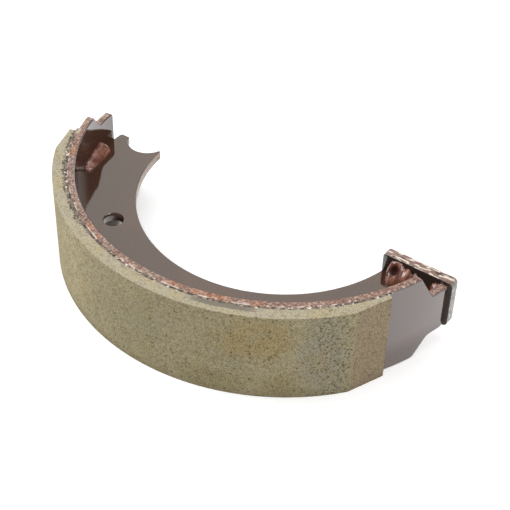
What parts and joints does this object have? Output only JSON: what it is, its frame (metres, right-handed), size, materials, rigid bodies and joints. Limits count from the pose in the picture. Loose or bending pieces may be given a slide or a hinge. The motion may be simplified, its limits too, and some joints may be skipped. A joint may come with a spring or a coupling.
{
  "type": "drum brake shoe",
  "caption": "Curved brake shoe for a drum: steel rim on a crescent web, bonded friction lining, anchor notch at one end and welded abutment plate at the other.",
  "frame": {"origin": "on the drum's axis, at the lower side face of the shoe, which lies flat on the floor", "axes": "+Z along the drum's axis, up from the floor; the shoe wraps round the -Y side, with the anchor notch at -X and the abutment plate at +X, whose outer face looks along +Y"},
  "size_m": [0.1511, 0.0758, 0.035],
  "materials": {
    "painted_steel": "glossy dark maroon-brown paint, thin over sheared edges",
    "sheared_steel": "sheared edge under thin paint, coppery with bright specks",
    "weld_steel": "glossy paint over a weld bead",
    "friction_lining": "matt moulded friction compound, tan with dark specks",
    "bond_adhesive": "dark gritty adhesive"
  },
  "bodies": {
    "root": {"rim": "painted_steel", "web": "painted_steel", "abutment_plate": "sheared_steel", "lining": "friction_lining", "bond_layer": "bond_adhesive", "rim_weld_upper": "weld_steel", "rim_weld_lower": "weld_steel", "plate_weld_upper": "weld_steel", "plate_weld_lower": "weld_steel", "tab_weld_upper": "weld_steel", "tab_weld_lower": "weld_steel"}
  },
  "joints": []
}
